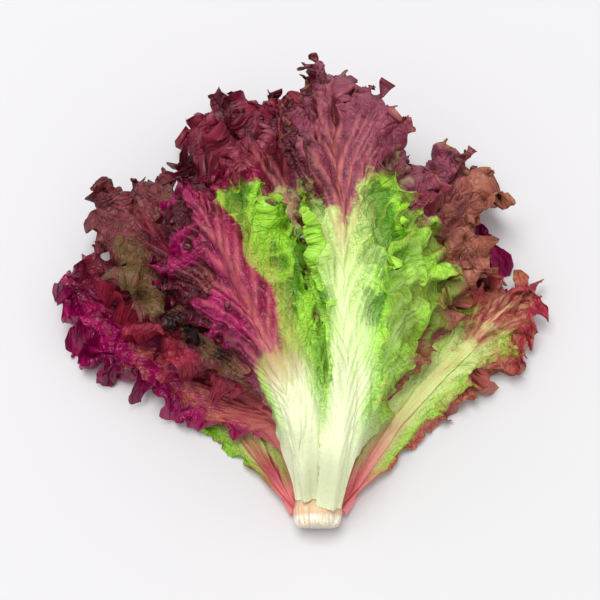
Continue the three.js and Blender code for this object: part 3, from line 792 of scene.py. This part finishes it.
class Nodes:
    """Short ways to add the nodes of one material."""

    def __init__(self, name):
        self.material = bpy.data.materials.new(name)
        self.material.use_nodes = True
        self.tree = self.material.node_tree
        self.tree.nodes.clear()

    def add(self, kind, inputs=(), **settings):
        node = self.tree.nodes.new(kind)
        for key, value in settings.items():
            setattr(node, key, value)
        for key, value in dict(inputs).items():
            self.put(node.inputs[key], value)
        return node

    def put(self, socket, value):
        if isinstance(value, bpy.types.NodeSocket):
            self.tree.links.new(value, socket)
        else:
            socket.default_value = value

    def math(self, operation, a, b=0.0, c=0.0, clamp=False):
        node = self.add("ShaderNodeMath", {0: a, 1: b, 2: c}, operation=operation, use_clamp=clamp)
        return node.outputs[0]

    def mix(self, share, a, b):
        node = self.add("ShaderNodeMix", {0: share, 6: a, 7: b}, data_type="RGBA")
        return node.outputs[2]

    def noise(self, place, scale, detail=4.0, roughness=0.55):
        node = self.add("ShaderNodeTexNoise", {"Vector": place, "Scale": scale, "Detail": detail,
                                               "Roughness": roughness})
        return node.outputs["Fac"]

    def step(self, value, low, high):
        node = self.add("ShaderNodeMapRange", {"Value": value, "From Min": low, "From Max": high},
                        interpolation_type="SMOOTHSTEP")
        return node.outputs["Result"]

    def stretched(self, place, scale):
        node = self.add("ShaderNodeVectorMath", {0: place, 1: scale}, operation="MULTIPLY")
        return node.outputs[0]

    def bump(self, height, strength, distance):
        node = self.add("ShaderNodeBump", {"Height": height, "Strength": strength, "Distance": distance})
        return node.outputs[0]


def blade_colour(n, colours, mottle, painted_light_and_shade, red, across, outward):
    """Fresh beside the midrib, green or red further out, with painted light on what stands out and painted
    shade darkening the hollows.
    """
    # painted light: the first green on what stands out; painted shade: the second green in the hollows
    green = n.mix(painted_light_and_shade, colours["green"][1], colours["green"][0])
    green = n.mix(n.step(n.math("MULTIPLY_ADD", mottle, 0.4, outward), 0.3, 0.9), colours["fresh"], green)
    right_half = n.step(n.math("MULTIPLY_ADD", mottle, 4.0, across), 1.0, 3.5)
    bright = n.mix(right_half, colours["red"][0], colours["red"][2])
    deep = n.mix(n.math("MULTIPLY", right_half, 0.35), colours["red"][1], colours["red"][2])
    # the bright red is painted light on what stands out, only in patches of the mottle; elsewhere the deep
    # red, which is also the painted shade of the hollows
    crimson = n.mix(n.math("MULTIPLY", painted_light_and_shade, n.step(mottle, 0.25, 0.6)), deep, bright)
    redness = n.step(n.math("ADD", red, n.math("MULTIPLY_ADD", mottle, 1.3, -0.65)), 0.25, 0.6)
    return n.mix(redness, green, crimson)


def rib_colour(n, colours, streaks, pink, blade, along):
    """Palest at the foot, and tinted with the blade's colour in streaks further out."""
    fresh = n.mix(n.math("MULTIPLY", n.step(along, 5.0, 13.0), 0.5), colours["rib"][0], colours["fresh"])
    rib = n.mix(pink, fresh, colours["rib"][1])
    tint = n.math("MULTIPLY_ADD", pink, 0.3, n.math("MULTIPLY", n.step(streaks, 0.4, 0.7), 0.6))
    return n.mix(n.math("MULTIPLY", tint, n.step(along, 2.0, 8.0)), rib, blade)


def tissue_bump(n, where, speckle, streaks, covered):
    """Specks and streaks all over, and a net of small veins on the blade."""
    height = n.math("ADD", n.math("MULTIPLY", speckle, 0.7), n.math("MULTIPLY", streaks, 0.5))
    net = n.add("ShaderNodeTexVoronoi", {"Vector": where, "Scale": NET_SCALE}, feature="DISTANCE_TO_EDGE")
    on_blade = n.math("SUBTRACT", 0.6, covered, clamp=True)
    netted = n.math("MULTIPLY", n.step(net.outputs["Distance"], 0.0, NET_WIDTH), on_blade)
    return n.bump(n.math("ADD", height, netted), BUMP_STRENGTH, BUMP_HEIGHT)


def leaf_material(name, colours):
    """Pale ribs and foot, a green or red blade by the leaf's markings with painted light on what stands out
    and painted shade in its hollows, dark flecks and a dry margin.
    """
    n = Nodes(name)
    marks = n.add("ShaderNodeAttribute", attribute_name="marks")
    parts = n.add("ShaderNodeSeparateColor", {"Color": marks.outputs["Color"]})
    pale, red, relief_for_painted_shade = parts.outputs
    where = n.add("ShaderNodeAttribute", attribute_name="where").outputs["Vector"]
    across, along, outward = n.add("ShaderNodeSeparateXYZ", {"Vector": where}).outputs
    mottle = n.noise(where, MOTTLE_SCALE, 5.0, 0.62)
    speckle = n.noise(where, SPECKLE_SCALE, 3.0, 0.6)
    streaks = n.noise(n.stretched(where, STREAK_STRETCH), 1.0, 3.0)

    # painted light and shade: 1 on what stands out, 0 in the hollows, with some random speckle
    painted_light_and_shade = n.math("MULTIPLY_ADD", speckle, 0.5, n.math("SUBTRACT", relief_for_painted_shade, 0.25))
    painted_light_and_shade = n.step(painted_light_and_shade, 0.3, 0.66)
    blade = blade_colour(n, colours, mottle, painted_light_and_shade, red, across, outward)
    rib = rib_colour(n, colours, streaks, marks.outputs["Alpha"], blade, along)
    covered = n.math("MULTIPLY_ADD", speckle, 0.25, n.math("SUBTRACT", pale, 0.12), clamp=True)
    tissue = n.mix(covered, blade, rib)
    flecks = n.math("SUBTRACT", 1.0, n.step(n.noise(where, FLECK_SCALE, 3.0, 0.7), 0.36, 0.56))
    flecks = n.math("MULTIPLY", flecks, n.math("MULTIPLY_ADD", covered, -0.32, 0.36))
    flecked = n.mix(flecks, tissue, SHADE)
    dry = n.step(n.math("ADD", speckle, mottle), 0.95, 1.15)
    dry = n.math("MULTIPLY", n.step(outward, 0.9, 1.0), dry)
    colour = n.mix(n.math("MULTIPLY", dry, colours["dry"]), flecked, DRY_TAN)

    bump = tissue_bump(n, where, speckle, streaks, covered)
    surface = n.add("ShaderNodeBsdfPrincipled", {"Base Color": colour, "Roughness": colours["rough"],
                                                 "Normal": bump, "Specular IOR Level": SHINE})
    glow = n.add("ShaderNodeBsdfTranslucent", {"Color": colour, "Normal": bump})
    both = n.add("ShaderNodeMixShader", {0: LIGHT_THROUGH, 1: surface.outputs[0], 2: glow.outputs[0]})
    n.add("ShaderNodeOutputMaterial", {"Surface": both.outputs[0]})
    return n.material


def stem_material():
    """Pale fibrous flesh, browned behind the cut end, with brown dots near the cut."""
    n = Nodes("cut stem")
    where = n.add("ShaderNodeAttribute", attribute_name="where").outputs["Vector"]
    from_end = n.add("ShaderNodeSeparateXYZ", {"Vector": where}).outputs["Y"]
    grain = n.noise(n.stretched(where, (5.0, 0.8, 5.0)), 1.0, 4.0)
    flesh = n.mix(n.step(grain, 0.3, 0.7), *FLESH)
    ring = n.math("MULTIPLY", n.step(from_end, 0.5, 0.8), n.step(grain, 0.25, 0.6))
    ringed = n.mix(n.math("MULTIPLY", ring, 0.7), flesh, SCAR)
    dots = n.noise(where, 9.0, 2.0, 0.5)
    rim = n.math("MULTIPLY", n.step(dots, 0.6, 0.72), n.math("SUBTRACT", 1.0, n.step(from_end, 0.1, 0.5)))
    colour = n.mix(n.math("MULTIPLY", rim, 0.7), ringed, CUT_RIM)
    bump = n.bump(grain, 0.9, 0.002)
    surface = n.add("ShaderNodeBsdfPrincipled", {"Base Color": colour, "Roughness": 0.4, "Normal": bump,
                                                 "Subsurface Weight": 0.4, "Subsurface Scale": 0.004})
    n.add("ShaderNodeOutputMaterial", {"Surface": surface.outputs[0]})
    return n.material


def plain_material(name, colour, roughness):
    n = Nodes(name)
    surface = n.add("ShaderNodeBsdfPrincipled", {"Base Color": colour, "Roughness": roughness,
                                                 "Specular IOR Level": 0.2})
    n.add("ShaderNodeOutputMaterial", {"Surface": surface.outputs[0]})
    return n.material


# The stem

def drawn_stem(set_down):
    """The stem as a mesh object: a fleshy stump, cut square, with low flutes."""
    share = np.linspace(0, 1, STEM_RINGS)
    radius = through(STEM_PROFILE, share) * (1 + 0.012 * np.sin(share * 40))
    distance = share * STEM_LENGTH
    radius = np.concatenate([STEM_RADIUS * np.array(CUT_FACE_RINGS), radius[2:], [0]])
    distance = np.concatenate([np.zeros(len(CUT_FACE_RINGS)), distance[2:], [STEM_LENGTH + 1]])
    turn = np.linspace(0, 2 * np.pi, STEM_SIDES + 1)[:-1]
    fluting = 1 + 0.035 * np.sin(5 * turn[None] + 0.12 * distance[:, None])
    ridges = 1 + 0.02 * noise(turn[None] * 4, distance[:, None] / 30, 3) * (distance[:, None] > 0)
    radius = radius * (0.85 + 0.15 * smoothstep(distance, -2, 9))
    x = radius[:, None] * fluting * ridges * np.cos(turn)
    z = radius[:, None] * fluting * ridges * np.sin(turn)
    y = distance[:, None] + 0.35 * noise(x / 4, z / 4, 8)
    cosine, sine = math.cos(STEM_PITCH), math.sin(STEM_PITCH)
    points = np.stack([x, y * cosine - z * sine, y * sine + z * cosine], -1)
    points = points.reshape(-1, 3) + np.array([0, 0, STEM_HEIGHT])
    ring = np.arange(len(radius) - 1)[:, None] * STEM_SIDES
    a = ring + np.arange(STEM_SIDES)
    b = ring + (np.arange(STEM_SIDES) + 1) % STEM_SIDES
    faces = np.stack([a, a + STEM_SIDES, b + STEM_SIDES, b], -1).reshape(-1, 4)
    where = np.stack([x / 10, y / 10, z / 10], -1).reshape(-1, 3)
    return mesh_piece("stem_flesh", set_down(points), faces, np.zeros((len(points), 4)), where)


# Surface, light and camera

def aim(thing, target):
    thing.rotation_mode = "QUATERNION"
    thing.rotation_quaternion = (Vector(target) - thing.location).to_track_quat("-Z", "Y")


def make_floor():
    bpy.ops.mesh.primitive_plane_add(size=FLOOR_SIZE)
    floor = bpy.context.object
    floor.name = "surface"
    floor.data.materials.append(plain_material("pale surface", FLOOR_COLOUR, 0.9))


def make_light():
    world = bpy.data.worlds.new("sky")
    world.use_nodes = True
    sky = world.node_tree.nodes["Background"]
    sky.inputs["Color"].default_value = (1, 1, 1, 1)
    sky.inputs["Strength"].default_value = SKY_STRENGTH
    bpy.context.scene.world = world
    lamp = bpy.data.objects.new("window", bpy.data.lights.new("window", "AREA"))
    lamp.data.size = LAMP_SIZE
    lamp.data.energy = LAMP_POWER
    lamp.location = LAMP_PLACE
    bpy.context.scene.collection.objects.link(lamp)
    aim(lamp, LAMP_TARGET)


def make_camera():
    camera = bpy.data.objects.new("camera", bpy.data.cameras.new("camera"))
    camera.data.sensor_width = SENSOR_WIDTH
    camera.data.lens = SENSOR_WIDTH / 2 / (VIEW_HALF_WIDTH / CAMERA_DISTANCE)
    back = Vector((0, -math.cos(CAMERA_ELEVATION), math.sin(CAMERA_ELEVATION)))
    camera.location = Vector(CAMERA_TARGET) + back * CAMERA_DISTANCE
    bpy.context.scene.collection.objects.link(camera)
    aim(camera, CAMERA_TARGET)
    bpy.context.scene.camera = camera


def dress(piece, node, material):
    piece.data.materials.append(material)
    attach(piece, "root")
    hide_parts(node)


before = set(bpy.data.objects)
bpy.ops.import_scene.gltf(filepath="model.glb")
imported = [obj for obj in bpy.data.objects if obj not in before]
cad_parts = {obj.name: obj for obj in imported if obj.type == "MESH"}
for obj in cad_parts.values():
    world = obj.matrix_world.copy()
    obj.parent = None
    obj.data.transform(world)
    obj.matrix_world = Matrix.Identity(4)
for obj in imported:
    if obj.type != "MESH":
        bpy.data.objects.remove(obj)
box_low, box_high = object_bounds()
low = np.array(box_low) / MM
high = np.array(box_high) / MM

pile = np.full((GRID, GRID), -GAP)
laid = {name: plain_sheet(one, pile) for name, one in LEAVES.items()}
top_low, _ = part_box("leaf_top")
shift = np.array(top_low) / MM - np.vstack(laid["leaf_top"][1]).min(0)


def set_down(points):
    """Carries points from the pile's frame to the object's, kept above the surface and close to its box."""
    points = points + shift
    sunk = points[:, 2] < LANDING
    points[sunk, 2] = LANDING * np.exp(points[sunk, 2] / LANDING - 1)
    over = EXTRA * (high - low)
    return np.clip(points, low - over * (1, 1, 0), high + over)


ceiling = np.full((GRID, GRID), np.inf)
for name, one in reversed(LEAVES.items()):
    piece = drawn_leaf(name, one, laid[name][0], ceiling, set_down)
    dress(piece, name, leaf_material(name.replace("_", " "), LOOKS[name]))
dress(drawn_stem(set_down), "stem", stem_material())

make_floor()
make_light()
make_camera()
bpy.context.scene.view_settings.view_transform = "Standard"
